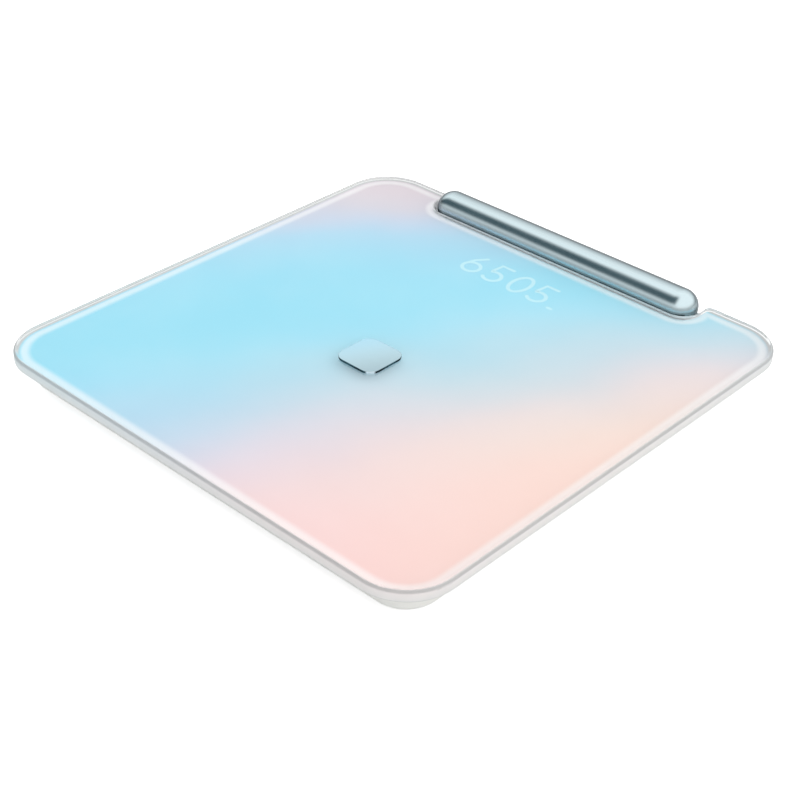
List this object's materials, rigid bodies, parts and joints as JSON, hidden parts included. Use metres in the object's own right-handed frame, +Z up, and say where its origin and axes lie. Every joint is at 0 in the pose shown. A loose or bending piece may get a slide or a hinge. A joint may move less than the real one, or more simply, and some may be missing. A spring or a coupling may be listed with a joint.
{
  "type": "digital bathroom scale",
  "caption": "Square glass bathroom scale with a colour-shifting film, a metal centre badge, a lit display and a round metal lift-out handle lying in a notch at the back.",
  "frame": {"origin": "on the floor under the middle of the platform", "axes": "+Z up, +Y towards the handle at the back, +X along the handle to the right seen from the front"},
  "size_m": [0.3, 0.3, 0.0333],
  "materials": {
    "clear_glass": "polished, toughened",
    "decor_film": "pearlescent print, colour drifts from cyan to lavender, pink and peach",
    "tape_white": "double-sided tape",
    "polished_metal": "polished, fine satin top",
    "tray_white": "fine spark-eroded texture",
    "cradle_white": "satin moulded",
    "handle_steel": "satin, cool grey-green tint",
    "electrode_steel": "polished",
    "core_grey": "moulded",
    "magnet_nickel": "nickel plated",
    "rubber_grey": "matt",
    "foot_white": "moulded",
    "cell_steel": "stamped steel",
    "board_green": "solder mask",
    "chip_black": "moulded epoxy",
    "connector_white": "nylon",
    "light_box_white": "reflective white",
    "diffuser_white": "translucent sheet",
    "led_yellow": "phosphor",
    "battery_silver": "plain metal sleeve",
    "contact_nickel": "nickel plated spring steel",
    "reel_grey": "moulded",
    "drum_white": "acetal",
    "spring_blue": "tempered strip",
    "screw_zinc": "zinc plated",
    "wire_black": "insulated cable",
    "ribbon_white": "flat flexible cable",
    "button_grey": "moulded"
  },
  "bodies": {
    "platform": {"glass_platform": "clear_glass", "decor_film": "decor_film", "bonding_tape": "tape_white", "centre_badge": "polished_metal", "base_tray": "tray_white", "handle_cradle": "cradle_white", "cradle_magnets": "magnet_nickel", "cord_exit_bush": "rubber_grey", "battery_cells": "battery_silver", "battery_contacts": "contact_nickel", "battery_springs": "contact_nickel", "display_board": "board_green", "display_light_box": "light_box_white", "display_leds": "led_yellow", "display_diffuser": "diffuser_white", "main_board": "board_green", "board_chips": "chip_black", "board_connectors": "connector_white", "unit_switch": "chip_black", "switch_board": "board_green", "reel_housing": "reel_grey", "reel_axle": "cell_steel", "reel_spring": "spring_blue", "reel_cover": "reel_grey", "main_board_screws": "screw_zinc", "display_screws": "screw_zinc", "switch_board_screws": "screw_zinc", "reel_screws": "screw_zinc", "cradle_screws": "screw_zinc", "load_cell_wires": "wire_black", "battery_wires": "wire_black", "switch_wires": "wire_black", "reel_wires": "wire_black", "display_ribbon": "ribbon_white", "foot_pad_front_left": "rubber_grey", "foot_front_left": "foot_white", "load_cell_front_left": "cell_steel", "load_cell_holder_front_left": "foot_white", "foot_pad_front_right": "rubber_grey", "foot_front_right": "foot_white", "load_cell_front_right": "cell_steel", "load_cell_holder_front_right": "foot_white", "foot_pad_back_left": "rubber_grey", "foot_back_left": "foot_white", "load_cell_back_left": "cell_steel", "load_cell_holder_back_left": "foot_white", "foot_pad_back_right": "rubber_grey", "foot_back_right": "foot_white", "load_cell_back_right": "cell_steel", "load_cell_holder_back_right": "foot_white"},
    "handle": {"handle_tube": "handle_steel", "handle_cap_left": "handle_steel", "handle_cap_right": "handle_steel", "hand_electrodes": "electrode_steel", "handle_core": "core_grey", "handle_magnets": "magnet_nickel", "handle_cord_gland": "rubber_grey"},
    "door": {"battery_door": "tray_white"},
    "unit_button": {"unit_button": "button_grey"},
    "reel_drum": {"reel_drum": "drum_white"}
  },
  "joints": [
    {"name": "handle_lift", "type": "slide", "parent": "platform", "child": "handle", "axis": [0, 0, 1], "range_m": [0, 0.12]},
    {"name": "reel_spin", "type": "hinge", "parent": "platform", "child": "reel_drum", "pos_m": [0, 0.038, 0.0105], "axis": [0, 0, 1], "range_deg": [0, 400]},
    {"name": "battery_door_hinge", "type": "hinge", "parent": "platform", "child": "door", "pos_m": [0, -0.1096, 0.0035], "axis": [-1, 0, 0], "range_deg": [0, 90]},
    {"name": "unit_button_press", "type": "slide", "parent": "platform", "child": "unit_button", "axis": [0, 0, 1], "range_m": [0, 0.0008], "stiffness_N_per_m": 300}
  ],
  "couplings": [
    {"joint": "reel_spin", "follows": "handle_lift", "rad_per_m": 55.556}
  ]
}
